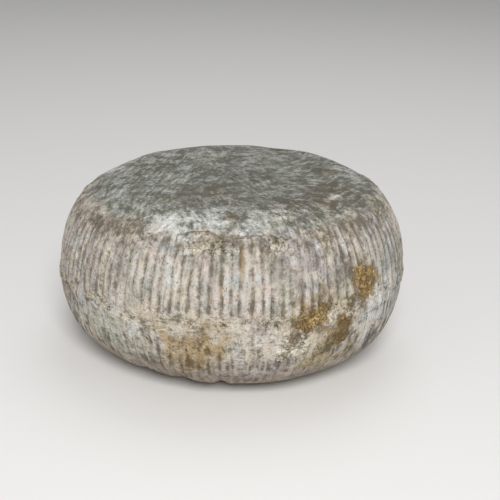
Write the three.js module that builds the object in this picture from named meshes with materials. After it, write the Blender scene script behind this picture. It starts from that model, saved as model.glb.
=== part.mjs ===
// A whole farmhouse cheese wheel, aged in a ribbed basket: one solid with a bulging side.
// Upright ribs run round the upper half of the side, fainter ones round the lower half. A raised
// welt marks where the two halves of the basket met, and a wavy ledge edges the sunken top.
// Millimetres, +Z up. The origin is on the resting face, under the middle of the wheel.
// The front of the wheel, at angle -90 degrees, faces -Y.
import * as THREE from "three";

// Driving dimensions of the wheel's section.
const BELLY_RADIUS = 109.6; // the widest radius, without the relief
const BELLY_HEIGHT = 57; // how high the widest radius lies
const WHEEL_HEIGHT = 112.5;
const UNDERSIDE_CURVE = 73; // how far in from the belly the lower curve reaches
const SHOULDER_CURVE = 41; // the same for the upper curve
const UNDERSIDE_FULLNESS = 2.6; // exponents of the two curves: 2 is a plain ellipse, more is boxier
const SHOULDER_FULLNESS = 2.1;
const RESTING_FLAT = 1.1; // how much of the round underside its own weight has pressed flat
const TOP_SLOPE = 0.028; // the top rises by this much for each millimetre towards +X

// Relief of the rind.
const RIB_COUNT = 116;
const RIB_DEPTH = 1.7;
const LOWER_RIB_SHARE = 0.45; // depth of the lower ribs against the upper ones
const PIT_DEPTH = 0.9; // extra depth at the lower end of each upper groove
const WELT_HEIGHT = 0.8;
const LEDGE_DROP = 1.3; // how far the top lies below the ledge
const ROUNDNESS_ERROR = 0.7; // how far the outline strays from a true circle

// Places along the section, as lengths from the middle of the underside.
const FLAT_EDGE = 57;
const RIB_FOOT = 80;
const WELT = 141;
const PIT = 150;
const LEDGE = 196;
const TOP_EDGE = 222;

const TURN = 2 * Math.PI;
const COLUMNS_PER_RIB = 3;
const SIDE_COLUMNS = RIB_COUNT * COLUMNS_PER_RIB;

const smooth = (low, high, x) => THREE.MathUtils.smoothstep(x, low, high);
const bump = (middle, width, x) => Math.exp(-(((x - middle) / width) ** 2));
const wave = (angle, turns, phase) => Math.sin(turns * angle + phase);

// The section, from the middle of the underside round to the middle of the top.
// x is the radius and y the height.
class WheelSection extends THREE.Curve {
  getPoint(t) {
    const stretch = Math.min(3, Math.floor(4 * t));
    const part = 4 * t - stretch;
    const along = Math.sin((part * Math.PI) / 2);
    const across = Math.cos((part * Math.PI) / 2);
    const footRadius = BELLY_RADIUS - UNDERSIDE_CURVE;
    const topRadius = BELLY_RADIUS - SHOULDER_CURVE;
    const shoulder = WHEEL_HEIGHT - BELLY_HEIGHT;
    if (stretch === 0) return new THREE.Vector2(footRadius * part, 0);
    if (stretch === 1) {
      const power = 2 / UNDERSIDE_FULLNESS;
      return new THREE.Vector2(
        footRadius + UNDERSIDE_CURVE * along ** power,
        BELLY_HEIGHT * (1 - Math.max(0, across) ** power),
      );
    }
    if (stretch === 2) {
      const power = 2 / SHOULDER_FULLNESS;
      return new THREE.Vector2(
        topRadius + SHOULDER_CURVE * Math.max(0, across) ** power,
        BELLY_HEIGHT + shoulder * along ** power,
      );
    }
    return new THREE.Vector2(topRadius * (1 - part), WHEEL_HEIGHT);
  }
}

const section = new WheelSection();
section.arcLengthDivisions = 4000;
const SECTION_LENGTH = section.getLength();

// The ledge and the welt wander up and down a little as they go round.
const ledgeAt = (angle) =>
  LEDGE + 1.2 * wave(angle, 3, 0.4) + 1.7 * wave(angle, 13, -0.84) + 0.8 * wave(angle, 22, 2.9);
const weltAt = (angle) =>
  WELT + 1.2 * wave(angle, 2, 2.2) + 0.9 * wave(angle, 7, 0.6);

// The middle of groove number k: evenly spaced but for a jitter that closes after one turn.
function grooveAngle(k) {
  const round = (TURN * k) / RIB_COUNT;
  const jitter = 0.09 * wave(round, 43, 0.7) + 0.08 * wave(round, 27, 1.9);
  return round + (jitter * TURN) / RIB_COUNT;
}

// Each groove has its own depth, from two thirds of the full depth to all of it.
const grooveDepth = (k) => {
  const round = (TURN * k) / RIB_COUNT;
  return 0.84 + 0.1 * wave(round, 31, 0.3) + 0.06 * wave(round, 19, 2.0);
};

// How strongly the ribs show at a place along the section, from 0 to 1.
function ribStrength(s, angle) {
  const ledge = ledgeAt(angle);
  const welt = weltAt(angle);
  const upper = smooth(welt + 2, welt + 8, s) * (1 - smooth(ledge - 6, ledge + 1, s));
  const lower = smooth(RIB_FOOT - 4, RIB_FOOT + 22, s) * (1 - smooth(welt - 10, welt - 3, s));
  const pit = (PIT_DEPTH / RIB_DEPTH) * bump(PIT + welt - WELT, 4, s);
  return upper + LOWER_RIB_SHARE * lower + pit;
}

// Relief that doesn't depend on the ribs: the welt, the ledge and broad unevenness.
function broadRelief(s, angle) {
  const ledge = ledgeAt(angle);
  const side = smooth(FLAT_EDGE, BELLY_RADIUS, s) * (1 - smooth(LEDGE, TOP_EDGE, s));
  const top = smooth(LEDGE, TOP_EDGE, s) * (1 - smooth(SECTION_LENGTH - 30, SECTION_LENGTH, s));
  const outline = wave(angle, 2, 3.4) + 0.6 * wave(angle, 3, 3.0) + 0.45 * wave(angle, 5, 3.3);
  const lumps = wave(angle, 9, s / 17) + 0.8 * wave(angle, 13, 2 - s / 11);
  return (
    side * (ROUNDNESS_ERROR * outline + 0.28 * lumps) +
    top * 0.35 * (wave(angle, 4, s / 12) + wave(angle, 7, 1 - s / 9)) +
    WELT_HEIGHT * bump(weltAt(angle), 2.6, s) -
    LEDGE_DROP * smooth(ledge - 1.5, ledge + 3, s) * (1 - 0.7 * smooth(ledge + 6, TOP_EDGE + 14, s))
  );
}

// The point of the rind at an angle, at a length s along the section.
// inGroove is 1 on a groove's middle line and 0 on a rib.
function rindPoint(angle, s, inGroove, k) {
  const u = THREE.MathUtils.clamp(s / SECTION_LENGTH, 0, 1);
  const base = section.getPointAt(u);
  const tangent = section.getTangentAt(u);
  const off = broadRelief(s, angle) - RIB_DEPTH * inGroove * grooveDepth(k) * ribStrength(s, angle);
  const radius = base.x + tangent.y * off;
  const height = base.y - tangent.x * off;
  const x = radius * Math.cos(angle);
  const slope = TOP_SLOPE * x * (height / WHEEL_HEIGHT);
  return new THREE.Vector3(
    x,
    radius * Math.sin(angle),
    Math.max(0, height - RESTING_FLAT + slope),
  );
}

// A ring of points round the wheel. place gives the length along the section at an angle.
// With 3 columns to a rib they lie on a groove and on both edges of the rib beside it.
function ring(columns, place) {
  const points = [];
  for (let i = 0; i < columns; i++) {
    const rib = (i * RIB_COUNT) / columns;
    const k = Math.floor(rib);
    const onGroove = columns === SIDE_COLUMNS && i % COLUMNS_PER_RIB === 0;
    const angle = THREE.MathUtils.lerp(grooveAngle(k), grooveAngle(k + 1), rib - k);
    points.push(rindPoint(angle, place(angle), onGroove ? 1 : 0, k));
  }
  return points;
}

// Triangles between two rings, whose counts are multiples of each other. below is the
// ring nearer the start of the section, and the faces look out of the wheel.
function stitch(triangles, below, above) {
  const [n, m] = [below.count, above.count];
  let i = 0;
  let j = 0;
  while (i < n || j < m) {
    const a = below.start + (i % n);
    const b = above.start + (j % m);
    if (j >= m || (i < n && (i + 1) / n <= (j + 1) / m)) {
      triangles.push(a, below.start + ((i + 1) % n), b);
      i++;
    } else {
      triangles.push(a, above.start + ((j + 1) % m), b);
      j++;
    }
  }
}

// The heights of the rings. Those between the welt and the ledge follow both lines.
const between = (share) => (angle) =>
  THREE.MathUtils.lerp(PIT + weltAt(angle) - WELT, ledgeAt(angle) - 3, share);
const level = (s) => () => s;

const RINGS = [
  [29, level(26)],
  [RIB_COUNT, level(FLAT_EDGE - 5)],
  [RIB_COUNT, level(66)],
  [SIDE_COLUMNS, level(RIB_FOOT)],
  [SIDE_COLUMNS, level(93)],
  [SIDE_COLUMNS, level(107)],
  [SIDE_COLUMNS, level(120)],
  [SIDE_COLUMNS, (angle) => weltAt(angle) - 10],
  [SIDE_COLUMNS, weltAt],
  [SIDE_COLUMNS, between(0)],
  [SIDE_COLUMNS, between(0.22)],
  [SIDE_COLUMNS, between(0.48)],
  [SIDE_COLUMNS, between(0.76)],
  [SIDE_COLUMNS, between(1)],
  [SIDE_COLUMNS, (angle) => ledgeAt(angle) + 3],
  [RIB_COUNT, (angle) => ledgeAt(angle) + 11],
  [RIB_COUNT, level(TOP_EDGE)],
  [RIB_COUNT / 2, level(TOP_EDGE + 18)],
  [RIB_COUNT / 4, level(SECTION_LENGTH - 26)],
];

function rindGeometry() {
  const points = [rindPoint(0, 0, 0, 0)];
  const rings = [];
  for (const [columns, place] of RINGS) {
    rings.push({ start: points.length, count: columns });
    points.push(...ring(columns, place));
  }
  points.push(rindPoint(0, SECTION_LENGTH, 0, 0));

  const triangles = [];
  const first = rings[0];
  const last = rings[rings.length - 1];
  for (let i = 0; i < first.count; i++) {
    triangles.push(0, first.start + ((i + 1) % first.count), first.start + i);
  }
  for (let r = 1; r < rings.length; r++) stitch(triangles, rings[r - 1], rings[r]);
  for (let i = 0; i < last.count; i++) {
    triangles.push(last.start + i, last.start + ((i + 1) % last.count), points.length - 1);
  }

  const geometry = new THREE.BufferGeometry().setFromPoints(points);
  geometry.setIndex(triangles);
  geometry.computeVertexNormals();
  return geometry;
}

// The dry natural rind: grey-beige, powdery and dull.
const rindMaterial = new THREE.MeshStandardMaterial({
  color: new THREE.Color().setRGB(0.66, 0.61, 0.56, THREE.SRGBColorSpace),
  roughness: 0.9,
  metalness: 0,
});

const wheel = new THREE.Mesh(rindGeometry(), rindMaterial);
wheel.name = "cheese_wheel";

const model = new THREE.Group();
model.add(wheel);

export default model;
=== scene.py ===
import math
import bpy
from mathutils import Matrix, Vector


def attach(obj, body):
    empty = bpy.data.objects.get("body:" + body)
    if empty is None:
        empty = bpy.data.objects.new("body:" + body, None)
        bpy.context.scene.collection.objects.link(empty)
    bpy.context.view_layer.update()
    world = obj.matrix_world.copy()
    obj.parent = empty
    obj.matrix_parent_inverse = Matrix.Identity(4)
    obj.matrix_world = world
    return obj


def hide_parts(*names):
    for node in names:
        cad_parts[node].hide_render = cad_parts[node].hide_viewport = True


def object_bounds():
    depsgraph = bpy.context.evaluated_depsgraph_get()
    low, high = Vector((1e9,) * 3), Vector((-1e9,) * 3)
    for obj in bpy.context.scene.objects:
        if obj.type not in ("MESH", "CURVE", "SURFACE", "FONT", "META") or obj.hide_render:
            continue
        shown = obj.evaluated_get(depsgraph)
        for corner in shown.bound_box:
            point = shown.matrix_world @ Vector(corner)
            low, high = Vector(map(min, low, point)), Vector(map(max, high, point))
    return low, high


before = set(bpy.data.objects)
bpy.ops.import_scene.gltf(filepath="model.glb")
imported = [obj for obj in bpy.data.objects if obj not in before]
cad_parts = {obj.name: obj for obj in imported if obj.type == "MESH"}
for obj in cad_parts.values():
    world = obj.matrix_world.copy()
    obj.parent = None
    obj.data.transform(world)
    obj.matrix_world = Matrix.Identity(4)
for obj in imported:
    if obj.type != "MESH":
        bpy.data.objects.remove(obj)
cad_low, cad_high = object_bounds()

# The looks of a whole aged cheese wheel: its ribbed, dusty natural rind, on a pale floor.
# The rind is one closed mesh that stands for the CAD solid. Its relief is worked out here in
# millimetres, from the same section and waves as the solid, and ends up in metres.
from types import SimpleNamespace

import bmesh
import bpy
import numpy as np
from mathutils import Matrix, Vector

MM = 0.001
TURN = 2 * math.pi

# ------------ the wheel's driving sizes, in mm

CAD_SIZE = (cad_high - cad_low) / MM
SIDE_RELIEF = 0.7  # how far the relief stands out past the belly
TOP_RELIEF = 0.5  # and past the top
BELLY_RADIUS = CAD_SIZE.x / 2 - SIDE_RELIEF
WHEEL_HEIGHT = CAD_SIZE.z - TOP_RELIEF
BELLY_HEIGHT = 57
UNDERSIDE_CURVE = 73  # how far in from the belly the lower curve reaches
SHOULDER_CURVE = 41  # the same for the upper curve
UNDERSIDE_FULLNESS = 2.6  # exponents of the two curves: 2 is a plain ellipse, more is boxier
SHOULDER_FULLNESS = 2.1
RESTING_FLAT = 1.1  # how much of the round underside its own weight has pressed flat
TOP_SLOPE = 0.028  # the top rises by this much for each millimetre towards +X

RIB_COUNT = 116
PITCH = TURN * BELLY_RADIUS / RIB_COUNT  # from one groove to the next
RIB_DEPTH = 1.7
LOWER_RIB_SHARE = 0.45  # depth of the lower ribs against the upper ones
TROUGH_WIDTH = 0.95  # from a groove's middle line to its edge
TROUGH_SHARE = 0.72  # of the depth; the rest is the ribs' rounding
GROOVE_SWAY = 0.13  # how far the grooves wander, against their distance
PIT_DEPTH = 0.9
PIT_WIDTH = 1.3
DEEPEST_PITS = -74  # in degrees, a little to the right of the front
WELT_HEIGHT = 0.8
SEAM_HEIGHT = 0.2
LEDGE_DROP = 1.3
FLAP_LIP = 0.45  # how far a flap at the ledge stands up
FLAP_GAP = 0.6  # how deep the gap under it is
ROUNDNESS_ERROR = 0.7
BROAD_LUMPS = 0.35
SMALL_LUMPS = 0.3
CRUMB_HEIGHT = 0.9
# How far the patches stand out of the rind, or lie below it.
PATCH_HEIGHTS = {"ochre": -0.5, "olive": -0.3, "bloom": 0.2, "dent": -2.2}
HOLLOW_RANGE = 0.9  # from the deepest hollow to the highest crest
UPRIGHT_STRETCH = 0.22  # draws noise out along the ribs

# Places along the section, as lengths from the middle of the underside.
FLAT_EDGE = 57
RIB_FOOT = 80
WELT = 141
LEDGE = 196
TOP_EDGE = 222

# Each size of granule: how many, their least and greatest radius in millimetres, how much they
# keep to the crumbliest places, and the subdivisions of the ball they are made from.
GRANULES = [(5200, 0.35, 0.8, 1.5, 1), (1050, 0.7, 1.6, 3.0, 2), (130, 1.2, 2.2, 9.0, 2)]
GRANULE_FREE = 0.12  # places less crumbly than this have none
GRANULE_SPREAD = 0.4
GRANULE_SUNK = (0.1, 0.5)  # how deep the middles lie, against the radius
LUMP_LEAST = (0.8, 0.6, 0.4)  # the lumps' three half sizes against the radius
LUMP_MOST = (1.6, 1.1, 0.8)

# ------------ small tools


def smooth(low, high, x):
    t = np.clip((x - low) / (high - low), 0, 1)
    return t * t * (3 - 2 * t)


def bump(middle, width, x):
    return np.exp(-(((x - middle) / width) ** 2))


def wave(angle, turns, phase):
    return np.sin(turns * angle + phase)


def mixed(a, b, share):
    return a + (b - a) * share


class Noise:
    """Smooth seeded noise in space, from about -1 to 1, one value for each row of points."""

    def __init__(self, seed):
        draw = np.random.default_rng(seed)
        self.order = np.tile(draw.permutation(256), 3)
        slopes = draw.normal(size=(256, 3))
        self.slopes = slopes / np.linalg.norm(slopes, axis=1)[:, None]

    def plain(self, points):
        """Gradient noise: at each corner of a cell the slope is drawn at random."""
        cell = np.floor(points).astype(int)
        inside = points - cell
        ease = inside**3 * (inside * (inside * 6 - 15) + 10)
        cell &= 255
        total = np.zeros(len(points))
        for corner in np.ndindex(2, 2, 2):
            corner = np.array(corner)
            x, y, z = (cell + corner).T
            slope = self.slopes[self.order[self.order[self.order[x] + y] + z]]
            weight = np.where(corner, ease, 1 - ease).prod(axis=1)
            total += weight * ((inside - corner) * slope).sum(axis=1)
        return total * 1.6

    def __call__(self, points, wavelength, octaves=1):
        """wavelength is a number, or one for each of the three directions."""
        points = points / np.broadcast_to(wavelength, 3)
        total = np.zeros(len(points))
        for i in range(octaves):
            total += self.plain(points * 2**i + 17.3 * i) / 2**i
        return total / (2 - 0.5 ** (octaves - 1))


# The relief's noises, then the seeds of the lumps' shapes, the back's patches and the granules.
GRAIN = Noise(1)
WANDER = Noise(2)
BREAKS = Noise(3)
BLOTCH = Noise(4)
UNEVEN_SEED = 5
PATCH_SEED = 7
GRANULE_SEED = 11

# ------------ the section

STRAIGHT_POINTS = 400  # on the flat underside, and again on the top
CURVE_POINTS = 1500  # on each of the two curves between them


def section():
    """The length along the section, its radius and height, and the direction out of the rind."""
    turn = np.linspace(0, math.pi / 2, CURVE_POINTS)
    foot = BELLY_RADIUS - UNDERSIDE_CURVE
    top = BELLY_RADIUS - SHOULDER_CURVE
    under = 2 / UNDERSIDE_FULLNESS
    over = 2 / SHOULDER_FULLNESS
    cosine = np.clip(np.cos(turn), 0, 1)
    radius = np.concatenate([
        np.linspace(0, foot, STRAIGHT_POINTS, endpoint=False),
        foot + UNDERSIDE_CURVE * np.sin(turn) ** under,
        top + SHOULDER_CURVE * cosine[1:] ** over,
        np.linspace(top, 0, STRAIGHT_POINTS)[1:],
    ])
    height = np.concatenate([
        np.zeros(STRAIGHT_POINTS),
        BELLY_HEIGHT * (1 - cosine**under),
        BELLY_HEIGHT + (WHEEL_HEIGHT - BELLY_HEIGHT) * np.sin(turn[1:]) ** over,
        np.full(STRAIGHT_POINTS - 1, WHEEL_HEIGHT),
    ])
    length = np.concatenate([[0], np.cumsum(np.hypot(np.diff(radius), np.diff(height)))])
    out_radius = np.gradient(height, length)
    out_height = -np.gradient(radius, length)
    return length, radius, height, out_radius, out_height


SECTION = section()
SECTION_LENGTH = SECTION[0][-1]


def along_section(s):
    """Radius, height and direction out of the rind at the lengths s."""
    return [np.interp(s, SECTION[0], values) for values in SECTION[1:]]


def ledge_at(angle):
    """Where the top's wavy edge lies."""
    return LEDGE + 1.2 * wave(angle, 3, 0.4) + 1.7 * wave(angle, 13, -0.84) + 0.8 * wave(angle, 22, 2.9)


def welt_at(angle):
    """Where the two halves of the basket met."""
    return WELT + 1.2 * wave(angle, 2, 2.2) + 0.9 * wave(angle, 7, 0.6)


def groove_angle(k):
    """Where groove number k is: evenly spaced but for a jitter that closes after one turn."""
    around = TURN * k / RIB_COUNT
    jitter = 0.09 * wave(around, 43, 0.7) + 0.08 * wave(around, 27, 1.9)
    return around + jitter * TURN / RIB_COUNT


def groove_depth(k):
    """Each groove's own depth, from two thirds of the full depth to all of it."""
    around = TURN * k / RIB_COUNT
    return 0.84 + 0.1 * wave(around, 31, 0.3) + 0.06 * wave(around, 19, 2.0)


def broad_relief(s, angle):
    """The relief that the ribs have no part in: welt, ledge and broad unevenness."""
    ledge = ledge_at(angle)
    side = smooth(FLAT_EDGE, BELLY_RADIUS, s) * (1 - smooth(LEDGE, TOP_EDGE, s))
    top = smooth(LEDGE, TOP_EDGE, s) * (1 - smooth(SECTION_LENGTH - 30, SECTION_LENGTH, s))
    outline = wave(angle, 2, 3.4) + 0.6 * wave(angle, 3, 3.0) + 0.45 * wave(angle, 5, 3.3)
    lumps = wave(angle, 9, s / 17) + 0.8 * wave(angle, 13, 2 - s / 11)
    drop = smooth(ledge - 1.5, ledge + 3, s) * (1 - 0.7 * smooth(ledge + 6, TOP_EDGE + 14, s))
    return (
        side * (ROUNDNESS_ERROR * outline + 0.28 * lumps)
        + top * 0.35 * (wave(angle, 4, s / 12) + wave(angle, 7, 1 - s / 9))
        + WELT_HEIGHT * bump(welt_at(angle), 2.6, s)
        - LEDGE_DROP * drop
    )


def rind_points(angle, s, off):
    """Points off the section by off millimetres, with the sloping top and the pressed base."""
    radius, height, out_radius, out_height = along_section(s)
    radius = radius + out_radius * off
    height = height + out_height * off
    x = radius * np.cos(angle)
    slope = TOP_SLOPE * x * height / WHEEL_HEIGHT
    lifted = np.maximum(0, height - RESTING_FLAT + slope)
    return np.stack([x, radius * np.sin(angle), lifted], axis=1)


# ------------ the mesh's rings

FINEST = 8 * RIB_COUNT  # columns where the mesh is finest
FIRST_RING = 2.0
# Each stretch of rings: where it ends, the columns round the wheel, and the rows' spacing.
STRETCHES = [
    (18, FINEST // 16, 3.0),
    (32, FINEST // 8, 2.4),
    (60, FINEST // 4, 2.4),
    (84, FINEST // 2, 2.4),
    (134, FINEST, 1.85),
    (154, FINEST, 1.15),
    (206, FINEST, 1.55),
    (SECTION_LENGTH - 42, FINEST // 2, 1.35),
    (SECTION_LENGTH - 20, FINEST // 4, 1.5),
    (SECTION_LENGTH - 3, FINEST // 8, 2.0),
]


def rind_rings():
    """The length along the section and the rib number of every vertex, and the rings' sizes."""
    lengths = []
    ribs = []
    sizes = []
    start = FIRST_RING
    for end, columns, spacing in STRETCHES:
        rows = round((end - start) / spacing)
        for s in np.linspace(start, end, rows, endpoint=False):
            lengths.append(np.full(columns, s))
            ribs.append(np.arange(columns) * RIB_COUNT / columns)
            sizes.append(columns)
        start = end
    return np.concatenate(lengths), np.concatenate(ribs), sizes


def ring_faces(sizes):
    """Quads and triangles between the rings, closed by a point at each end of the section."""
    faces = []
    starts = np.concatenate([[0], np.cumsum(sizes)])
    bottom = starts[-1]
    top = bottom + 1
    for r in range(len(sizes) - 1):
        n, m = sizes[r], sizes[r + 1]
        low, high = starts[r], starts[r + 1]
        i = np.arange(min(n, m))
        after = (i + 1) % len(i)
        if n == m:
            strips = [(low + i, low + after, high + after, high + i)]
        elif n < m:
            middle = high + 2 * i + 1
            strips = [
                (low + i, low + after, middle),
                (low + i, middle, high + 2 * i),
                (low + after, high + 2 * after, middle),
            ]
        else:
            middle = low + 2 * i + 1
            strips = [
                (high + i, middle, high + after),
                (high + i, low + 2 * i, middle),
                (high + after, middle, low + 2 * after),
            ]
        for strip in strips:
            faces += np.stack(strip, axis=1).tolist()
    n, m = sizes[0], sizes[-1]
    faces += [(bottom, starts[0] + (i + 1) % n, starts[0] + i) for i in range(n)]
    faces += [(top, starts[-2] + i, starts[-2] + (i + 1) % m) for i in range(m)]
    return faces


# ------------ the rind's patches

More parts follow.
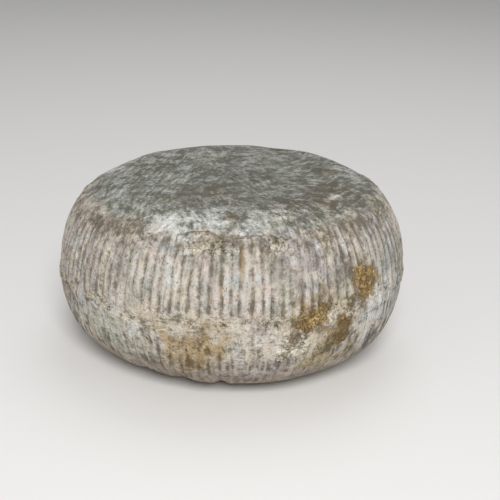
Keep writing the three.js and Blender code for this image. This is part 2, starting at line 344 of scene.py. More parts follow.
# Where the rind of the front differs from place to place. Each patch has its angle in degrees,
# its length along the section, half its width and height in millimetres, and how strong it is.
PATCHES = {
    "ochre": [  # sunken yellow-brown stains, with grains
        (-44.5, 161, 9, 8, 1.0), (-45, 154, 7.5, 7, 1.0), (-45.5, 150, 5, 5, 0.8),
        (-47.5, 163, 6, 6, 1.0), (-42.5, 160, 5, 9, 0.9), (-65.5, 143.5, 10.5, 7.5, 1.0),
        (-60.5, 149.5, 7, 3.5, 0.75), (-54.5, 134, 5.5, 10, 0.95),
    ],
    "umber": [  # dark brown spots and rims, and painted shadow under the flaps at the ledge
        (-53.7, 133, 6.5, 9, 1.0), (-44.5, 160, 8, 6, 0.4), (-71.5, 140, 1.8, 8, 1.0),
        (-46, 150, 5, 3, 0.5), (-68.5, 163, 3, 7, 0.7), (-87, 154, 5, 4, 0.5), (-60, 150, 6, 4, 0.7),
        (-81, 148, 8, 3, 0.6), (-116, 157, 4, 5, 0.6), (-97, 193, 9, 3, 0.4), (-90, 194.5, 8, 3, 0.8),
        (-52, 149, 6, 5, 0.6), (-70.5, 133, 3, 5, 1.0), (-73, 123, 2, 2, 1.0), (-125, 178, 10, 10, 0.45),
        (-136, 190, 10, 6, 0.5), (-117, 187, 8, 6, 0.4), (-134, 152, 12, 4, 0.5), (-142, 178, 6, 7, 0.4),
        (-106.5, 135, 4.5, 5, 0.6),
    ],
    "olive": [  # greenish stains low on the right
        (-60.5, 121, 12, 12, 1.0), (-56, 113, 10, 8, 0.8), (-62, 132, 7, 7, 0.6), (-21, 158, 5, 9, 0.6),
        (-49, 117, 8, 10, 0.7),
    ],
    "tan": [  # warm stains that soak the dust
        (-58.5, 188, 4, 7, 0.6), (-106, 130, 10, 13, 0.9), (-96.5, 131, 11, 12, 0.95),
        (-101, 118, 15, 12, 0.9), (-91, 138, 6, 7, 0.5), (-66, 146, 15, 12, 0.8), (-63, 157, 6, 6, 0.8),
        (-54.5, 137, 12, 11, 0.5), (-55, 152, 11, 8, 0.5), (-44.5, 160, 14, 12, 0.6),
        (-86.6, 180, 1.5, 12, 0.7), (-110, 150, 8, 5, 0.3), (-60, 146, 6, 8, 0.4), (-30, 195, 8, 6, 0.3),
        (-97, 190, 13, 5, 0.4), (-125, 192, 14, 6, 0.3), (-52, 215, 16, 12, 0.3), (-70, 123, 8, 6, 0.3),
    ],
    "dun": [  # places where the dust is thin and dull, and painted shade on parts of the top, under the ledge and at the left edge
        (-60, 222, 22, 14, 0.8), (-45, 207, 14, 8, 0.8), (-90, 211, 7, 7, 1.0), (-30, 222, 20, 20, 0.9),
        (-110, 240, 25, 25, 0.6), (-86, 234, 20, 10, 0.6), (-130, 196, 20, 6, 0.6),
        (-145, 158, 26, 30, 0.25), (-140, 188, 20, 8, 0.8), (-81, 181, 8, 9, 0.5), (-60, 202, 8, 5, 0.8),
        (-30, 170, 26, 30, 0.35), (-53, 195, 10, 7, 1.0), (-43, 194, 12, 7, 1.0), (-25, 196, 16, 9, 0.8),
        (-96, 186, 32, 10, 0.6), (-79, 189, 8, 6, 0.95), (-100, 179, 8, 6, 0.4), (-90, 195, 8, 4, 0.9),
        (-130, 179, 10, 8, 0.4), (-50, 150, 7, 6, 0.85), (-50, 211, 12, 8, 0.9), (-31, 211, 12, 9, 0.8),
        (-76, 195, 8, 3, 0.7), (-57, 152, 9, 6, 0.7), (-60, 160, 7, 6, 0.5), (-70, 133, 7, 7, 1.0),
        (-62, 138, 6, 5, 0.4), (-50, 133, 4, 7, 0.5), (-98, 124, 8, 6, 0.3), (-112, 112, 10, 6, 0.4),
        (-67, 131, 6, 6, 0.4), (-133, 163, 11, 12, 0.4), (-60, 125, 6, 5, 0.55), (-71, 122, 6, 5, 0.25),
    ],
    "crisp": [  # clean, deep ribs
        (-87, 170, 16, 16, 1.0), (-32, 172, 16, 16, 1.0), (-22, 172, 14, 26, 1.0),
        (-147, 170, 14, 18, 0.7), (-96, 188, 12, 8, 0.6), (-42, 190, 14, 12, 1.0),
        (-38, 130, 12, 12, 1.0),
    ],
    "bloom": [  # thick white dust
        (-114, 200, 13, 7, 1.0), (-101, 208, 16, 9, 0.7), (-82, 203, 13, 9, 0.6), (-86, 197, 7, 5, 0.9),
        (-75, 209, 11, 9, 0.45), (-35, 216, 5, 4, 0.8), (-83, 174, 5, 10, 0.4), (-88, 145, 6, 5, 0.8),
        (-76, 136, 7, 11, 0.5), (-82, 136, 8, 5, 0.4), (-109.5, 172, 6, 12, 0.5), (-64, 172, 10, 6, 0.4),
        (-52, 156, 5, 5, 0.6), (-60, 144, 2.5, 6, 0.8), (-68, 130, 3, 3, 0.5), (-36, 146, 12, 7, 0.5),
        (-50.5, 186, 2.2, 9, 1.0), (-100, 168, 5, 10, 0.5), (-90, 168, 5, 8, 0.3), (-60, 187, 7, 5, 0.8),
        (-80, 211, 9, 7, 0.6), (-70, 211, 7, 7, 0.6), (-80, 159, 6, 6, 0.55), (-39, 150, 5, 5, 0.8),
        (-37.5, 160, 3, 8, 0.6), (-39.5, 144, 9, 8, 0.8), (-121, 138, 8, 9, 0.4), (-141, 137, 9, 9, 0.4),
        (-110, 123, 7, 5, 0.4), (-70, 183, 7, 9, 0.5), (-121, 189, 8, 5, 0.35), (-71, 150, 6, 5, 0.7),
        (-40, 136, 9, 14, 0.7), (-30, 150, 8, 6, 0.65), (-50, 142, 5, 5, 0.6), (-60, 157, 5, 6, 0.3),
        (-40, 179, 9, 8, 0.5), (-102, 142, 8, 5, 0.4), (-112, 148, 8, 5, 0.5), (-127, 141, 10, 5, 0.5),
        (-130, 130, 18, 9, 0.5), (-40, 202, 7, 5, 0.3), (-110, 196, 9, 5, 1.0), (-150, 168, 10, 8, 0.6),
        (-121, 133, 8, 7, 0.75), (-130, 123, 9, 6, 0.4), (-90, 121, 7, 6, 0.3), (-104, 194, 9, 3, 0.4),
        (-62, 112, 16, 6, 0.35), (-40, 196, 5, 4, 0.35), (-80, 113, 16, 7, 0.5),
    ],
    "blue": [  # cool grey dust
        (-32, 138, 18, 14, 0.9), (-22, 144, 16, 14, 1.0), (-42, 122, 12, 8, 0.8),
        (-115, 167, 12, 12, 0.6), (-110, 190, 8, 8, 0.6), (-125, 174, 12, 12, 0.5), (-70, 195, 8, 5, 0.7),
        (-132, 142, 12, 7, 0.5), (-30, 165, 22, 26, 0.7), (-64, 166, 10, 12, 0.5),
        (-90, 170, 10, 14, 0.4), (-145, 150, 20, 30, 0.4), (-30, 150, 8, 6, 0.3), (-75, 222, 30, 12, 0.5),
    ],
    "cream": [  # cream-coloured crumbs
        (-71, 126, 13, 8, 1.0), (-66.5, 133, 7, 8, 0.4), (-97, 188, 13, 5, 0.6), (-102, 185, 6, 4, 0.5),
        (-73, 188, 6, 6, 0.8), (-60, 146, 4, 7, 0.8), (-57, 150, 8, 3, 0.7), (-50, 122, 5, 7, 0.4),
        (-42, 148, 8, 2, 0.6),
    ],
    "rough": [  # crumbly crust
        (-77, 137, 9, 9, 0.8), (-80, 148, 10, 4, 1.0), (-97, 188, 15, 6, 0.6), (-78, 189, 10, 5, 0.6),
        (-68, 137, 8, 8, 0.8), (-58, 148, 9, 5, 0.8), (-118, 150, 24, 5, 0.5), (-92, 146, 14, 5, 0.6),
        (-88, 118, 12, 6, 0.4), (-55, 172, 8, 14, 0.4), (-60, 120, 12, 10, 0.4),
    ],
    "lilac": [  # dust with a lilac tinge
        (-68, 180, 14, 14, 0.75), (-98, 162, 9, 9, 0.4), (-83, 112, 26, 13, 0.7),
        (-158, 160, 12, 40, 0.35), (-134, 164, 12, 14, 0.2), (-36, 190, 14, 10, 0.5),
        (-52, 172, 12, 10, 0.6), (-35, 116, 22, 12, 0.6), (-80, 143, 7, 4, 0.6),
    ],
    "sage": [  # dust with a green tinge
        (-122, 160, 12, 12, 0.4), (-20, 160, 10, 9, 0.5), (-128, 126, 26, 14, 0.7),
        (-75, 170, 7, 22, 0.6), (-54, 162, 6, 14, 0.7), (-93, 185, 8, 8, 0.5), (-72, 206, 14, 9, 0.6),
        (-20, 196, 10, 12, 0.4),
    ],
    "worn": [  # ribs worn nearly flat
        (-67, 179, 15, 13, 0.45), (-98, 190, 14, 8, 0.4), (-130, 186, 22, 11, 0.85),
        (-118, 185, 11, 8, 0.7), (-75, 182, 8, 12, 0.7), (-137, 165, 12, 20, 0.4), (-52, 160, 7, 8, 0.7),
        (-44, 150, 12, 6, 0.8),
    ],
    "flap": [  # the rind stands up along the edge of the top
        (-101, 197, 13, 9, 1.0), (-84, 196, 10, 9, 0.9), (-71, 196, 6, 8, 0.5),
    ],
    "combed": [  # the strokes on the top show most
        (-62, 212, 26, 17, 0.7), (-42, 204, 20, 12, 0.7), (-105, 207, 16, 9, 0.8),
    ],
    "dent": [  # shallow dents near the foot
        (-123, 92, 5, 14, 1.0), (-107.5, 90, 5, 13, 1.0), (-93, 90, 4, 14, 1.0),
    ],
}
# The back gets patches of the same kinds, by a seeded draw: how many of each, and the lengths
# along the section that they lie between.
BACK_PATCHES = {
    "ochre": (4, 130, 170),
    "umber": (4, 130, 192),
    "olive": (2, 112, 140),
    "tan": (8, 105, 195),
    "dun": (9, 150, 250),
    "crisp": (6, 160, 180),
    "bloom": (12, 135, 215),
    "blue": (6, 120, 220),
    "cream": (8, 118, 192),
    "rough": (12, 112, 192),
    "lilac": (7, 105, 185),
    "sage": (6, 115, 190),
    "worn": (7, 150, 192),
    "flap": (5, 195, 198),
    "combed": (4, 202, 225),
    "dent": (5, 84, 98),
}


def patches_of(kind, draw):
    patches = list(PATCHES[kind])
    count, lowest, highest = BACK_PATCHES[kind]
    for _ in range(count):
        angle = draw.uniform(5, 175)
        size = draw.uniform(6, 13)
        height = draw.uniform(lowest, highest)
        patches.append((angle, height, size, size * draw.uniform(0.6, 1.2), draw.uniform(0.5, 1)))
    return patches


def patch_mask(patches, angle, s, ragged):
    """Up to 1 inside the patches and 0 away from them, with ragged outlines."""
    radius = along_section(s)[0]
    mask = np.zeros(len(s))
    for degrees, middle, half_width, half_height, strength in patches:
        sideways = (angle - math.radians(degrees) + math.pi) % TURN - math.pi
        distance = np.hypot(sideways * radius / half_width, (s - middle) / half_height)
        mask = np.maximum(mask, strength * (1 - smooth(0.3, 1.6, distance + ragged)))
    return mask


def patch_masks(angle, s, place):
    """A mask for each kind of patch."""
    draw = np.random.default_rng(PATCH_SEED)
    ragged = 1.1 * BLOTCH(place, 11, 4) + 0.6 * GRAIN(place, 4, 2)
    return {kind: patch_mask(patches_of(kind, draw), angle, s, ragged) for kind in PATCHES}


# ------------ the rind's relief and masks


def near_deep_pits(angle):
    """1 where the pits are deepest and 0 elsewhere."""
    return bump(0, 0.55, np.sin((angle - math.radians(DEEPEST_PITS)) / 2) * 2)


def grooves(s, angle, phase, place, ledge, welt, masks):
    """The grooves and the pits at their lower ends, from 0 to 1, and how deep the grooves are.

    Each groove starts and ends at heights of its own, and breaks into dashes.
    """
    nearest = np.floor(phase + 0.5)
    groove = nearest % RIB_COUNT
    across = (phase - nearest) * PITCH
    zero = np.zeros(len(s))
    of_groove = np.stack([groove * 7.7, s / 9, zero], axis=1)
    by_groove = np.stack([groove * 3.1, zero, zero], axis=1)
    upper_end = ledge - 6 + 6 * BREAKS(by_groove + 5, 1) + 4 * masks["crisp"]
    lower_end = welt + 10 + 4 * BREAKS(by_groove + 9, 1)
    upper = smooth(lower_end - 5, lower_end + 1, s) * (1 - smooth(upper_end - 4, upper_end + 3, s))
    lower = smooth(RIB_FOOT - 4, RIB_FOOT + 26, s) * (1 - smooth(welt - 13, welt - 6, s))

    presence = (1 - 0.8 * masks["worn"]) * smooth(-1.1, 0.1, BLOTCH(place + 80, 24))
    presence = np.clip(presence * (0.85 + 0.5 * masks["crisp"]), 0, 1.2)
    dash = smooth(-0.7, 0.2, BREAKS(of_groove, 1, 2))
    lower_share = LOWER_RIB_SHARE + 0.6 * masks["tan"]
    strength = presence * (upper * (0.35 + 0.65 * dash) + lower_share * lower * dash)

    trough = np.exp(-((across / TROUGH_WIDTH) ** 2))
    crown = 0.5 + 0.5 * np.cos(across * TURN / PITCH)
    depth = RIB_DEPTH * groove_depth(groove) * mixed(crown, trough, TROUGH_SHARE) * strength
    pit_strength = smooth(-0.3, 0.4, BREAKS(of_groove + 90, 1)) * mixed(0.3, 1, near_deep_pits(angle))
    pits = bump(lower_end + 4, 4.5, s) * pit_strength * np.exp(-((across / PIT_WIDTH) ** 2))
    return upper * presence, strength, pits, depth


def crusts(s, place, ledge, welt, masks):
    """The crust along the welt and the collar under the ledge, and how crumbly each place is."""
    crust = bump(welt + 4, 6, s) * smooth(-0.7, 0.4, BLOTCH(place + 50, 16))
    collar = bump(ledge - 6, 6, s) * smooth(-0.8, 0.3, BLOTCH(place + 60, 20))
    crumbly = np.clip(masks["cream"] + 0.7 * masks["rough"] + 0.4 * crust + 0.4 * collar, 0, 1)
    return crust, collar, crumbly


def fine_relief(s, place, ledge, masks):
    """The flaps at the ledge, lumps and crumbs, and what the patches add or take away."""
    flap = 0.25 + 0.75 * masks["flap"]
    relief = flap * (FLAP_LIP * bump(ledge + 2.2, 2.4, s) - FLAP_GAP * bump(ledge - 1.2, 1.1, s))
    relief += BROAD_LUMPS * GRAIN(place, 26, 2) * smooth(60, 90, s)
    relief += SMALL_LUMPS * GRAIN(place, 7, 3) * (0.5 + masks["crumbly"])
    relief += CRUMB_HEIGHT * (smooth(-0.15, 0.35, GRAIN(place + 30, 3.4, 2)) - 0.4) * masks["crumbly"]
    for kind, height in PATCH_HEIGHTS.items():
        relief += height * masks[kind]
    return relief


def rind_fields(s, rib):
    """The relief in millimetres and the masks that the material reads, for every vertex."""
    k = np.floor(rib)
    angle = mixed(groove_angle(k), groove_angle(k + 1), rib - k)
    radius, height = along_section(s)[:2]
    place = np.stack([radius * np.cos(angle), radius * np.sin(angle), height], axis=1)
    upright = np.stack([BELLY_RADIUS * np.cos(angle), BELLY_RADIUS * np.sin(angle), s], axis=1)
    ledge = ledge_at(angle)
    welt = welt_at(angle)

    masks = patch_masks(angle, s, place)
    phase = rib + GROOVE_SWAY * WANDER(upright, (9, 9, 13), 2)
    ribs, strength, pits, groove = grooves(s, angle, phase, place, ledge, welt, masks)
    crust, collar, crumbly = crusts(s, place, ledge, welt, masks)
    ochre = masks["ochre"]
    stain_edge = 4 * ochre * (1 - ochre)
    granules = np.clip(crumbly + 0.35 * ochre + 0.3 * stain_edge + 0.1 * masks["bloom"], 0, 1)
    seam = smooth(-0.1, 0.4, BLOTCH(upright + 70, (14, 14, 40)))
    even_edge = 1 - masks["flap"]
    top = smooth(ledge - 1 - 3 * even_edge, ledge + 1.5 + 8 * even_edge, s)
    masks.update(
        ribs=ribs,
        strength=np.clip(strength, 0, 1.2),
        pits=np.clip(pits, 0, 1),
        crust=np.clip(crust, 0, 1),
        crumbly=crumbly,
        granules=granules,
        seam=seam,
        top=top,
        collar=collar * (1 - top),
        low=1 - smooth(RIB_FOOT + 14, WELT - 2, s),
        foot=1 - smooth(100, 122, s),
        height=s / 14,
        over_ledge=np.clip(s - ledge, -25, 25),
        over_welt=np.clip(s - welt, -25, 25),
        turn=stroke_turn(place),
    )

    relief = broad_relief(s, angle) - groove - PIT_DEPTH * pits
    relief += fine_relief(s, place, ledge, masks) + SEAM_HEIGHT * bump(welt - 1, 0.9, s) * seam
    return angle, phase, relief, masks, upright * (MM, MM, UPRIGHT_STRETCH * MM)


def stroke_turn(place):
    """Which way the top's strokes run: 0 for the first of the stroke angles, 1 for the last."""
    x, y, _ = place.T
    turn = 0.25 * smooth(-40, 10, x) + 0.75 * smooth(20, 85, x + 0.3 * (y + 75))
    return np.clip(turn + 0.2 * WANDER(place, 45), 0, 1)


# ------------ the rind's mesh


def neighbour_mean(values, edges, count):
    """The mean of each vertex's neighbours."""
    total = np.zeros(values.shape)
    for a, b in [(0, 1), (1, 0)]:
        np.add.at(total, edges[:, a], values[edges[:, b]])
    return total / (count[:, None] if values.ndim > 1 else count)


def hollows(mesh, points):
    """How far each vertex lies below the ground about it, in millimetres."""
    edges = np.zeros(len(mesh.edges) * 2, np.int32)
    mesh.edges.foreach_get("vertices", edges)
    edges = edges.reshape(-1, 2)
    count = np.bincount(edges.ravel(), minlength=len(points))
    around = points
    for _ in range(3):
        around = neighbour_mean(around, edges, count)
    depth = ((around - points) * vectors_of(mesh, "normal")).sum(axis=1)
    return mixed(depth, neighbour_mean(depth, edges, count), 0.5)


def vectors_of(mesh, name):
    """The places (co) or the directions (normal) of a mesh's vertices."""
    vectors = np.zeros(len(mesh.vertices) * 3, np.float32)
    mesh.vertices.foreach_get(name, vectors)
    return vectors.reshape(-1, 3)


def values_of(mesh, name):
    values = np.zeros(len(mesh.vertices), np.float32)
    mesh.attributes[name].data.foreach_get("value", values)
    return values


def store_values(mesh, name, values, domain="POINT"):
    attribute = mesh.attributes.new(name, "FLOAT", domain)
    attribute.data.foreach_set("value", values.astype(np.float32))


def store_phase(mesh, phase):
    """The rib number at every corner, which runs on over the place where the count starts again."""
    corners = np.zeros(len(mesh.loops), np.int32)
    mesh.loops.foreach_get("vertex_index", corners)
    first = np.zeros(len(mesh.polygons), np.int32)
    mesh.polygons.foreach_get("loop_start", first)
    sides = np.zeros(len(mesh.polygons), np.int32)
    mesh.polygons.foreach_get("loop_total", sides)
    values = phase[corners]
    highest = np.repeat(np.maximum.reduceat(values, first), sides)
    values = np.where(highest - values > RIB_COUNT / 2, values + RIB_COUNT, values)
    store_values(mesh, "phase", values, "CORNER")


def smooth_mesh(name, points, faces):
    """A smoothly shaded mesh from points in millimetres."""
    mesh = bpy.data.meshes.new(name)
    mesh.from_pydata((points * MM).tolist(), [], faces)
    mesh.shade_smooth()
    mesh.update()
    return mesh


def new_object(name, data):
    thing = bpy.data.objects.new(name, data)
    bpy.context.scene.collection.objects.link(thing)
    return thing


def make_rind():
    s, rib, sizes = rind_rings()
    s = np.concatenate([s, [0, SECTION_LENGTH]])
    rib = np.concatenate([rib, [0, 0]])
    angle, phase, relief, masks, upright = rind_fields(s, rib)
    points = rind_points(angle, s, relief)
    mesh = smooth_mesh("wheel_rind", points, ring_faces(sizes))
    masks["hollow"] = np.clip(0.5 + hollows(mesh, points) / HOLLOW_RANGE, 0, 1)
    for name, values in masks.items():
        store_values(mesh, name, values)
    attribute = mesh.attributes.new("upright", "FLOAT_VECTOR", "POINT")
    attribute.data.foreach_set("vector", upright.astype(np.float32).ravel())
    store_phase(mesh, phase)
    return new_object("wheel_rind", mesh)


# ------------ granules on the rind


def ball(subdivisions):
    """A unit ball: its points, and the three points of each face."""
    mesh = bmesh.new()
    bmesh.ops.create_icosphere(mesh, subdivisions=subdivisions, radius=1)
    points = np.array([vertex.co[:] for vertex in mesh.verts])
    faces = np.array([[vertex.index for vertex in face.verts] for face in mesh.faces])
    mesh.free()
    return points, faces


def lumps_on(places, normals, shape, radius, draw, uneven):
    """Uneven lumps, one at each place and half sunk, flattened and turned at random."""
    count = len(places)
    size = radius * draw.uniform(LUMP_LEAST, LUMP_MOST, (count, 3))

    # Three axes for each: two along the rind, and one out of it.
    turned = draw.normal(size=(count, 3))
    first = np.cross(normals, turned)
    first /= np.linalg.norm(first, axis=1)[:, None]
    axes = np.stack([first, np.cross(normals, first), normals], axis=1)

    bumps = 1 + 0.5 * uneven((shape + 3.7 * np.arange(count)[:, None, None]).reshape(-1, 3), 1)
    lumps = shape * bumps.reshape(count, -1, 1) * size[:, None]
    lumps = np.einsum("npa,nax->npx", lumps, axes)
    middle = places + GRANULE_SPREAD * draw.normal(size=(count, 3)) * (1 - np.abs(normals))
    middle -= normals * radius * draw.uniform(*GRANULE_SUNK, (count, 1))
    return (lumps + middle[:, None]).reshape(-1, 3)


def make_granules(rind):
    """Small lumps on the crumbly rind, coloured by the rind they lie on."""
    ground = rind.data
    places = vectors_of(ground, "co") / MM
    normals = vectors_of(ground, "normal")
    crumbly = np.clip(values_of(ground, "granules") - GRANULE_FREE, 0, 1)

    draw = np.random.default_rng(GRANULE_SEED)
    uneven = Noise(UNEVEN_SEED)
    points = []
    faces = []
    spots = []
    start = 0
    for count, least, greatest, keeping, subdivisions in GRANULES:
        shape, shape_faces = ball(subdivisions)
        chance = crumbly**keeping
        chosen = draw.choice(len(places), count, replace=False, p=chance / chance.sum())
        radius = mixed(least, greatest, draw.random(count) ** 2)[:, None]
        points.append(lumps_on(places[chosen], normals[chosen], shape, radius, draw, uneven))
        steps = start + len(shape) * np.arange(count)[:, None, None]
        faces.append((shape_faces + steps).reshape(-1, 3))
        spots.append(np.repeat(chosen, len(shape)))
        start += count * len(shape)

    mesh = smooth_mesh("rind_granules", np.concatenate(points), np.concatenate(faces).tolist())
    spots = np.concatenate(spots)
    for attribute in ground.attributes:
        if attribute.domain == "POINT" and attribute.data_type == "FLOAT":
            store_values(mesh, attribute.name, values_of(ground, attribute.name)[spots])
    store_values(mesh, "granule", np.ones(len(spots)))
    return new_object("rind_granules", mesh)


# ------------ the rind's material


def colour(red, green, blue):
    """A colour from its 0 to 255 screen values."""
    linear = [((c / 255 + 0.055) / 1.055) ** 2.4 for c in (red, green, blue)]
    return (*linear, 1)


# The bare rind under the dust.
BARE_DARK = colour(109, 99, 82)
BARE = colour(147, 137, 118)
# Darker on the lower side, partly painted shade where the side turns down to the floor.
BARE_LOW = colour(109, 99, 83)
BARE_TOP = colour(86, 82, 66)
BARE_LILAC = colour(108, 104, 104)
BARE_DUN = colour(96, 83, 64)
BARE_TAN = colour(136, 121, 94)
GROOVE_DARK = colour(100, 90, 72)

# The dust that covers it, and its crusts.
DUST_WARM = colour(200, 191, 177)
DUST_PINK = colour(197, 185, 176)
DUST_BLUE = colour(185, 187, 186)
DUST_SAGE = colour(170, 170, 155)
DUST_LILAC = colour(166, 159, 157)
# Darker on the lower side, partly painted shade where the side turns down to the floor.
DUST_LOW = colour(176, 168, 151)
DUST_TOP = colour(184, 187, 179)
DUST_DUN = colour(163, 154, 137)
DUST_WHITE = colour(207, 208, 205)
BELT_CRUST = colour(190, 179, 159)
CREAM_CRUST = colour(219, 213, 196)

# Tints that the colour under them is multiplied by.
THIN_DUST = colour(154, 152, 148)
FOOT_TINT = colour(255, 247, 249)
TAN_STAIN = colour(222, 204, 174)
OLIVE_STAIN = colour(228, 221, 196)

# Stains and specks, and painted shade for the crust's holes and under the ledge's flaps.
OCHRE_LIGHT = colour(211, 198, 165)
OCHRE_STAIN = colour(157, 132, 86)
OCHRE_DARK = colour(92, 69, 33)
UMBER = colour(91, 75, 50)
HOLE_SHADE = colour(94, 83, 66)
SPECK_DARK = colour(88, 79, 66)
# Pale specks of dust, partly painted glints.
SPECK_PALE = colour(240, 238, 231)

ROUGHNESS = 0.86  # a little more or less from grain to grain
ROUGHNESS_SPREAD = 0.1
SPECULAR = 0.25
BUMP_STRENGTH = 0.9
BUMP_HEIGHT = 1.2 * MM
STROKE_ANGLES = (-105, -65, -25, 15, 55)  # of the strokes on the top, in degrees, seen from above
STROKE_LENGTH = 5  # against the strokes' width
STROKE_WIDTH = 2.1
LEVEL_STRETCH = (0.35, 0.35, 4.5)  # draws noise out along the welt


class Graph:
    """A short way to write a material's nodes. Lengths are in millimetres."""

    def __init__(self, material):
        material.use_nodes = True
        self.tree = material.node_tree
        self.tree.nodes.clear()
        self.masks = {}

    def add(self, kind, inputs=None, **settings):
        node = self.tree.nodes.new("ShaderNode" + kind)
        for name, value in settings.items():
            setattr(node, name, value)
        for key, value in (inputs or {}).items():
            if isinstance(value, bpy.types.NodeSocket):
                self.tree.links.new(value, node.inputs[key])
            else:
                node.inputs[key].default_value = value
        return node

    def math(self, operation, a, b=0.0, c=0.0):
        return self.add("Math", {0: a, 1: b, 2: c}, operation=operation).outputs[0]

    def product(self, a, b):
        return self.math("MULTIPLY", a, b)

    def total(self, start, *parts):
        """start, and each part's value times its weight."""
        for value, weight in parts:
            start = self.math("MULTIPLY_ADD", value, weight, start)
        return start

    def step(self, value, low, high, to=1.0):
        inputs = {"Value": value, "From Min": low, "From Max": high, "To Max": to}
        return self.add("MapRange", inputs, interpolation_type="SMOOTHSTEP").outputs[0]

    def noise(self, place, wavelength, detail=2.0, roughness=0.55):
        """Noise about 0, mostly from -0.5 to 0.5."""
        inputs = {
            "Vector": place,
            "Scale": 1 / (wavelength * MM),
            "Detail": detail,
            "Roughness": roughness,
        }
        return self.math("MULTIPLY_ADD", self.add("TexNoise", inputs).outputs[0], 2.6, -1.3)

    def stretched(self, place, factors):
        return self.add("VectorMath", {0: place, 1: factors}, operation="MULTIPLY").outputs[0]

    def moved(self, place, value, millimetres):
        """The place, moved by up to some millimetres along all three axes."""
        shift = self.stretched(value, (millimetres * MM,) * 3)
        return self.add("VectorMath", {0: place, 1: shift}, operation="ADD").outputs[0]

    def mask(self, name):
        """One of the numbers that the mesh carries for each place."""
        if name not in self.masks:
            self.masks[name] = self.add("Attribute", attribute_name=name).outputs["Fac"]
        return self.masks[name]

    def vector(self, name):
        return self.add("Attribute", attribute_name=name).outputs["Vector"]

    def mixed(self, share, a, b):
        return self.add("Mix", {0: share, 2: a, 3: b}).outputs[0]

    def mix(self, share, a, b, blend="MIX"):
        """Two colours mixed: a where the share is 0, and b where it is 1."""
        node = self.add("Mix", {0: share, 6: a, 7: b}, data_type="RGBA", blend_type=blend)
        return node.outputs[2]

    def finish(self, **inputs):
        inputs = {name.replace("_", " "): value for name, value in inputs.items()}
        shader = self.add("BsdfPrincipled", inputs)
        output = self.add("OutputMaterial")
        self.tree.links.new(shader.outputs[0], output.inputs["Surface"])


def brushed(g, place, turn, width):
    """Noise drawn out along the top's strokes, whose direction turns from place to place."""
    total = 0.0
    for i, degrees in enumerate(STROKE_ANGLES):
        inputs = {"Vector": place, "Angle": -math.radians(degrees)}
        turned = g.add("VectorRotate", inputs, rotation_type="Z_AXIS").outputs[0]
        drawn = g.stretched(turned, (1 / STROKE_LENGTH, 1, 1))
        away = g.math("MULTIPLY_ADD", turn, len(STROKE_ANGLES) - 1, -i)
        share = g.math("SUBTRACT", 1, g.math("ABSOLUTE", away))
        share = g.math("MAXIMUM", share, 0)
        total = g.math("MULTIPLY_ADD", g.noise(drawn, width, 1.5), share, total)
    return total


def rind_noises(g):
    """The patterns that several parts of the material share."""
    place = g.add("TexCoord").outputs["Object"]
    upright = g.vector("upright")
    wide = g.noise(place, 26, 3)
    return SimpleNamespace(
        place=place,
        upright=upright,
        wide=wide,
        clouds=g.noise(place, 14, 3),
        patchy=g.noise(place, 8, 4, 0.6),
        flaky=g.noise(place, 5.5, 3.6, 0.68),
        small=g.noise(place, 2.8, 2.5, 0.6),
        fine=g.noise(place, 1.5, 1.5, 0.6),
        grit=g.noise(place, 1.2, 1),
        streaks=g.noise(upright, 1.7, 3, 0.6),
        streaks_wide=g.noise(upright, 3.2, 2),
        layers=g.noise(g.stretched(upright, LEVEL_STRETCH), 2.4, 4, 0.65),
        felt=brushed(g, g.moved(place, wide, 3), g.mask("turn"), STROKE_WIDTH),
    )


def rib_parts(g, noise):
    """Thin dark lines in the grooves, soft shade beside them, and a tint for each rib."""
    phase = g.mask("phase")
    offset = g.math("SUBTRACT", phase, g.math("ROUND", phase))
    across = g.product(g.math("ABSOLUTE", offset), PITCH)
    ragged = g.total(across, (noise.small, 0.7), (noise.fine, 0.4))
    broken = g.step(g.noise(noise.upright, 6, 3), -0.5, 0.2)
    strength = g.product(g.mask("strength"), g.total(0.4, (broken, 0.6)))
    strength = g.product(strength, g.step(g.mask("granule"), 1, 0))
    half_width = g.total(0.3, (g.noise(noise.upright, 5, 2), 0.7), (strength, 0.5))
    line = g.product(g.step(ragged, half_width, -0.3), strength)
    shade = g.product(g.step(ragged, 2.0, 0.1), strength)

    rib = g.add("CombineXYZ", {0: g.math("FLOOR", phase), 1: g.mask("height")}).outputs[0]
    tint = g.add("TexNoise", {"Vector": rib, "Scale": 0.71, "Detail": 1}).outputs[0]
    tint = g.product(g.total(-1.2, (tint, 2.4)), g.mask("ribs"))
    return SimpleNamespace(line=line, shade=shade, tint=tint)


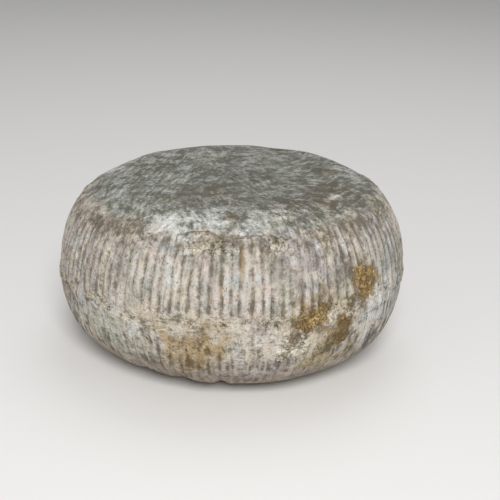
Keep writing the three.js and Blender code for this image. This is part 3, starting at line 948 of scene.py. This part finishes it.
def dust_cover(g, noise, rib, top):
    """How much dust lies on the rind: most on crests, least in stains, grooves, pits and hollows, which
    paints shade there.
    """
    low = g.mask("low")
    foot = g.mask("foot")
    blue = g.mask("blue")
    ribs = g.mask("ribs")
    cover = g.total(
        0.6,
        # Less dust in the grooves: dark lines of their own, and painted shade beside them.
        (rib.line, -0.17),
        (rib.shade, -0.28),
        (g.mask("granule"), 0.2),
        # Painted shade: less dust, so a darker colour, in the pits and the mesh's hollows.
        (g.mask("pits"), -0.35),
        (g.mask("hollow"), -0.25),
        (g.mask("ochre"), -0.5),
        (g.mask("tan"), -0.03),
        (g.mask("crust"), -0.05),
        (g.mask("collar"), -0.28),
        (g.mask("lilac"), -0.15),
        # Thin, dull dust in the dun patches, partly painted shade.
        (g.mask("dun"), -0.33),
        (g.mask("bloom"), 0.3),
        # Less dust on the lower side, partly painted shade.
        (low, -0.15),
        (noise.wide, 0.2),
        (noise.patchy, 0.25),
        (noise.fine, 0.2),
        (rib.tint, 0.3),
    )

    # The side has a grain: upright streaks, but level layers on the crust along the welt.
    wide_part = g.total(low, (foot, -1), (g.mask("tan"), 0.1), (blue, 0.7), (ribs, -0.5))
    wide_part = g.product(noise.streaks_wide, g.math("MAXIMUM", wide_part, 0))
    upright_part = g.total(0, (noise.streaks, 0.45), (wide_part, 1.95))
    level_part = g.product(noise.layers, 1.2)
    grain = g.mixed(g.product(g.mask("crust"), 1.4), upright_part, level_part)
    calm = g.total(0.92, (ribs, -0.45), (g.mask("collar"), 0.3), (foot, -0.35))
    calm = g.total(calm, (blue, -0.25), (low, -0.2))
    side = g.total(cover, (noise.flaky, calm), (grain, 1), (foot, 0.08))

    # The top has short strokes, like combed hair.
    hair = g.product(noise.felt, g.total(0.4, (g.mask("combed"), 0.6)))
    hair = g.product(hair, g.total(1, (g.mask("bloom"), -0.4)))
    flat = g.total(cover, (hair, 1.4), (noise.flaky, 0.64), (noise.patchy, 0.3))
    flat = g.total(flat, (noise.clouds, 0.3), (noise.fine, 0.2), (top, -0.18))
    flat = g.total(flat, (g.mask("dun"), 0.12), (g.mask("bloom"), 0.25))

    dusted = g.mixed(top, g.step(side, -0.12, 0.76), g.step(flat, -0.08, 0.98))
    return SimpleNamespace(cover=g.mixed(top, side, flat), dusted=dusted, grain=grain, hair=hair)


def bare_colour(g, noise, rib, top):
    mottle = g.total(0, (noise.patchy, 0.5), (noise.small, 0.6))
    bare = g.mix(g.step(mottle, -0.35, 0.2), BARE_DARK, BARE)
    bare = g.mix(g.mask("low"), bare, BARE_LOW)
    tan = g.total(g.mask("tan"), (noise.patchy, 0.3))
    bare = g.mix(g.step(tan, 0.1, 0.8, 0.9), bare, BARE_TAN)
    bare_top = g.mix(g.step(noise.clouds, 0.0, 0.4), BARE_TOP, BARE_LILAC)
    # The dun patches: dull bare rind on the top, partly painted shade.
    dun = g.total(g.mask("dun"), (noise.patchy, 0.6))
    bare_top = g.mix(g.step(dun, 0.2, 0.9), bare_top, BARE_DUN)
    bare = g.mix(top, bare, bare_top)
    return g.mix(rib.line, bare, GROOVE_DARK)


def dust_colour(g, noise, rib, top):
    crust = g.mask("crust")
    hue = g.total(0, (g.noise(noise.upright, 11, 3), 0.6), (rib.tint, 0.5))
    hue_again = g.total(0, (g.noise(noise.place, 9, 3), 0.7), (rib.tint, -0.3))
    pink = g.total(hue, (g.mask("tan"), -0.4))
    dun = g.total(g.mask("dun"), (noise.patchy, 0.5))
    blue = g.total(hue_again, (g.mask("blue"), 0.6), (rib.shade, -0.3))
    sage = g.total(g.mask("sage"), (hue_again, -1))
    lilac = g.total(g.mask("lilac"), (hue, 0.6))
    belt = g.total(crust, (noise.flaky, 0.5), (g.mask("blue"), -0.5))
    cream = g.total(g.mask("cream"), (noise.small, 0.5), (noise.patchy, 0.5), (g.mask("granule"), 0.2))
    bloom = g.total(g.mask("bloom"), (noise.patchy, 0.35), (noise.flaky, 0.5), (noise.fine, 0.2))

    dust = g.mix(g.step(pink, -0.25, 0.35), DUST_WARM, DUST_PINK)
    dust = g.mix(g.mask("low"), dust, DUST_LOW)
    dust = g.mix(top, dust, DUST_TOP)
    # Dull dust in the dun patches, partly painted shade.
    dust = g.mix(g.step(dun, 0.2, 1.0, 0.7), dust, DUST_DUN)
    dust = g.mix(g.step(blue, -0.1, 0.55, 0.85), dust, DUST_BLUE)
    dust = g.mix(g.step(sage, 0.1, 0.6, 0.8), dust, DUST_SAGE)
    dust = g.mix(g.step(lilac, 0.15, 0.8, 0.8), dust, DUST_LILAC)
    dust = g.mix(g.step(belt, 0.2, 0.9, 0.7), dust, BELT_CRUST)
    dust = g.mix(g.step(cream, 0.35, 1.1, 0.85), dust, CREAM_CRUST)
    return g.mix(g.step(bloom, 0.3, 1.1), dust, DUST_WHITE)


def soaked(g, rind, noise, rib):
    """The rind with the tan and olive stains, which soak the dust as well."""
    tan = g.total(g.mask("tan"), (noise.patchy, 0.1), (noise.streaks, 0.5))
    tan = g.total(tan, (noise.streaks_wide, 0.6), (rib.shade, 0.25))
    rind = g.mix(g.step(tan, 0.05, 1.15), rind, TAN_STAIN, "MULTIPLY")
    olive = g.total(g.mask("olive"), (noise.flaky, 0.6), (noise.fine, 0.4))
    return g.mix(g.step(olive, 0.2, 1.0), rind, OLIVE_STAIN, "MULTIPLY")


def crust_holes(g, noise):
    """Painted shade in the holes of the crumbly crust, and in cracks that run along the welt."""
    hole = g.total(0, (g.mask("crumbly"), 0.7), (noise.flaky, -1.2), (noise.fine, -0.4))
    hole = g.total(hole, (g.mask("granule"), -0.8))
    crack = g.product(g.step(g.mask("crust"), 0.3, 1.0, 0.6), g.step(noise.layers, 0.15, 0.45))
    return g.math("MAXIMUM", g.step(hole, 0.8, 1.15, 0.95), crack)


def ledge_shadow(g, noise):
    """Painted shadow: the dark line under the top's edge, strongest under the flaps."""
    edge = g.total(g.mask("over_ledge"), (noise.small, 1.8), (noise.patchy, 1.5))
    line = g.product(g.step(edge, -2.2, -1.2), g.step(edge, 0.0, -0.9))
    flap = g.total(g.mask("flap"), (noise.flaky, 0.9))
    return g.product(line, g.step(flap, 0.25, 0.9, 0.75))


def seam_line(g, noise):
    """The pale line where the two halves of the basket met."""
    place = g.total(g.mask("over_welt"), (noise.small, 1.1), (g.noise(noise.upright, 20, 2), 4))
    line = g.product(g.step(place, -1.9, -1.2), g.step(place, -0.3, -0.9))
    seam = g.total(g.mask("seam"), (noise.patchy, 0.8))
    return g.product(line, g.step(seam, 0.4, 1.1, 0.7))


def specked(g, rind, noise, cover):
    """The rind with pale specks on the dust, partly painted glints, and dark ones between, fewer on ribs
    and below.
    """
    clean = g.total(1, (g.mask("ribs"), -0.5), (g.mask("low"), -0.3), (g.mask("crust"), -0.3))
    pale = g.step(g.total(0, (cover, 0.4), (noise.fine, 0.7)), 0.5, 0.8, 0.55)
    rind = g.mix(g.product(pale, clean), rind, SPECK_PALE)
    dark = g.total(0, (cover, -0.4), (g.noise(noise.place, 1.7, 2), 1))
    return g.mix(g.product(g.step(dark, 0.0, 0.4, 0.5), clean), rind, SPECK_DARK)


def ochre_stained(g, rind, noise, rib):
    """The rind with its ochre stains, of darker and paler grains, and the umber spots."""
    mottle = g.total(0, (noise.flaky, 0.5), (noise.small, 0.5), (noise.grit, 0.7))
    # Painted shade: the stain is darker in the grooves.
    mottle = g.total(mottle, (noise.patchy, 0.4), (rib.shade, -0.4))
    ochre = g.mix(g.step(mottle, -0.5, 0.35), OCHRE_DARK, OCHRE_STAIN)
    grains = g.total(0, (noise.flaky, 0.4), (noise.small, 0.4), (noise.fine, 0.6))
    grains = g.total(grains, (noise.grit, 0.6), (g.mask("granule"), 0.1))
    ochre = g.mix(g.step(grains, 0.25, 0.75, 0.6), ochre, OCHRE_LIGHT)
    stain = g.total(g.mask("ochre"), (noise.small, 0.5), (noise.fine, 0.4))
    stain = g.total(stain, (noise.patchy, 0.2), (noise.flaky, 0.3))
    fringe = g.product(g.step(stain, 0.1, 0.4), g.step(noise.patchy, -0.2, 0.3, 0.7))
    rind = g.mix(fringe, rind, OCHRE_DARK)
    rind = g.mix(g.step(stain, 0.3, 1.0), rind, ochre)
    # Umber spots and rims, and painted shadow under the flaps at the ledge.
    umber = g.total(g.mask("umber"), (noise.flaky, 0.5), (noise.fine, 0.4))
    umber = g.total(umber, (noise.small, 0.3), (noise.streaks, 0.4))
    return g.mix(g.step(umber, 0.35, 1.1, 0.7), rind, UMBER)


def rind_material():
    """The bare rind, the dust that lies on it, and the stains, holes and specks in both."""
    material = bpy.data.materials.new("natural_rind")
    g = Graph(material)
    noise = rind_noises(g)
    rib = rib_parts(g, noise)
    top = g.total(g.mask("top"), (g.noise(noise.place, 7, 4, 0.6), 0.7))
    top = g.step(top, 0.2, 0.8)

    dust = dust_colour(g, noise, rib, top)
    layer = dust_cover(g, noise, rib, top)
    thin = g.total(0.8, (g.mask("tan"), -0.35))
    bare = bare_colour(g, noise, rib, top)
    bare = g.mix(thin, bare, g.mix(1.0, dust, THIN_DUST, "MULTIPLY"))
    rind = g.mix(layer.dusted, bare, dust)
    rind = g.mix(g.mask("foot"), rind, FOOT_TINT, "MULTIPLY")
    rind = soaked(g, rind, noise, rib)

    hole = crust_holes(g, noise)
    edge = ledge_shadow(g, noise)
    # Painted shade in the crust's holes and cracks.
    rind = g.mix(hole, rind, HOLE_SHADE)
    # Painted shadow under the flaps at the ledge.
    rind = g.mix(edge, rind, HOLE_SHADE)
    rind = g.mix(seam_line(g, noise), rind, CREAM_CRUST)
    rind = specked(g, rind, noise, layer.cover)
    rind = ochre_stained(g, rind, noise, rib)

    relief = g.total(0, (noise.flaky, 0.6), (noise.fine, 0.45), (layer.grain, 0.5), (layer.hair, 0.3))
    relief = g.total(relief, (hole, -0.5), (edge, -0.4))
    bumps = g.add("Bump", {"Strength": BUMP_STRENGTH, "Distance": BUMP_HEIGHT, "Height": relief})
    g.finish(
        Base_Color=rind,
        Roughness=g.total(ROUGHNESS, (noise.fine, ROUGHNESS_SPREAD)),
        Specular_IOR_Level=SPECULAR,
        Normal=bumps.outputs[0],
    )
    return material


# ------------ stage, lights and camera

FLOOR_HALF = 8.0  # half the floor's width, in metres
FLOOR_COLOUR = colour(232, 231, 229)
FLOOR_ROUGHNESS = 0.8
WORLD_STRENGTH = 0.32
LIT_POINT = (0, 0, 0.05)
# Each light: its place and size in metres, and its power in watts.
LIGHTS = {
    "key": ((0.1, -1.5, 1.2), 0.8, 31.5),
    "fill": ((-1.3, -1.0, 0.7), 1.2, 1),
    "above": ((0.2, 0.7, 1.6), 1.2, 5),
}

# The camera's place is fitted to the wheel's outline in a picture of 500 by 500 pixels.
PICTURE = 500
FOCAL_PIXELS = 1008
AIM_PIXEL = (231.66, 264.40)  # where the aim point is seen
AIM_HEIGHT = 49.5 * MM
SENSOR_WIDTH = 36  # in millimetres, as the camera's lens is
CAMERA_DISTANCE = 660 * MM
CAMERA_ELEVATION = math.radians(21.55)
CAMERA_ROLL = math.radians(1.645)


def make_floor():
    half = FLOOR_HALF
    corners = [(-half, -half, 0), (half, -half, 0), (half, half, 0), (-half, half, 0)]
    mesh = bpy.data.meshes.new("floor")
    mesh.from_pydata(corners, [], [(0, 1, 2, 3)])
    material = bpy.data.materials.new("pale_floor")
    Graph(material).finish(Base_Color=FLOOR_COLOUR, Roughness=FLOOR_ROUGHNESS)
    mesh.materials.append(material)
    new_object("floor", mesh)


def make_light(name, place, size, power):
    data = bpy.data.lights.new(name, "AREA")
    data.shape = "DISK"
    data.size = size
    data.energy = power
    light = new_object(name, data)
    light.location = place
    light.rotation_euler = (Vector(LIT_POINT) - Vector(place)).to_track_quat("-Z", "Y").to_euler()


def make_world():
    world = bpy.data.worlds.new("studio")
    world.use_nodes = True
    background = world.node_tree.nodes["Background"]
    background.inputs["Color"].default_value = (1.0, 1.0, 1.0, 1)
    background.inputs["Strength"].default_value = WORLD_STRENGTH
    bpy.context.scene.world = world


def make_camera():
    aim = Vector((0, 0, AIM_HEIGHT))
    back = Vector((0, -math.cos(CAMERA_ELEVATION), math.sin(CAMERA_ELEVATION)))
    data = bpy.data.cameras.new("camera")
    data.sensor_width = SENSOR_WIDTH
    data.lens = FOCAL_PIXELS / PICTURE * SENSOR_WIDTH
    camera = new_object("camera", data)
    look = (-back).to_track_quat("-Z", "Y").to_matrix()
    roll = Matrix.Rotation(CAMERA_ROLL, 3, "Z")
    half = PICTURE / 2
    ray = Vector(((AIM_PIXEL[0] - half) / FOCAL_PIXELS, (half - AIM_PIXEL[1]) / FOCAL_PIXELS, -1))
    offset = Vector((0, 0, -1)).rotation_difference(ray).to_matrix()
    turned = look @ roll @ offset.inverted()
    camera.matrix_world = Matrix.Translation(aim + back * CAMERA_DISTANCE) @ turned.to_4x4()
    bpy.context.scene.camera = camera


make_camera()
make_world()
for name, (place, size, power) in LIGHTS.items():
    make_light(name, place, size, power)
bpy.context.scene.view_settings.view_transform = "Standard"
make_floor()

rind = make_rind()
rind.data.materials.append(rind_material())
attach(rind, "root")
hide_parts("cheese_wheel")

granules = make_granules(rind)
granules.data.materials.append(rind.data.materials[0])
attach(granules, "root")
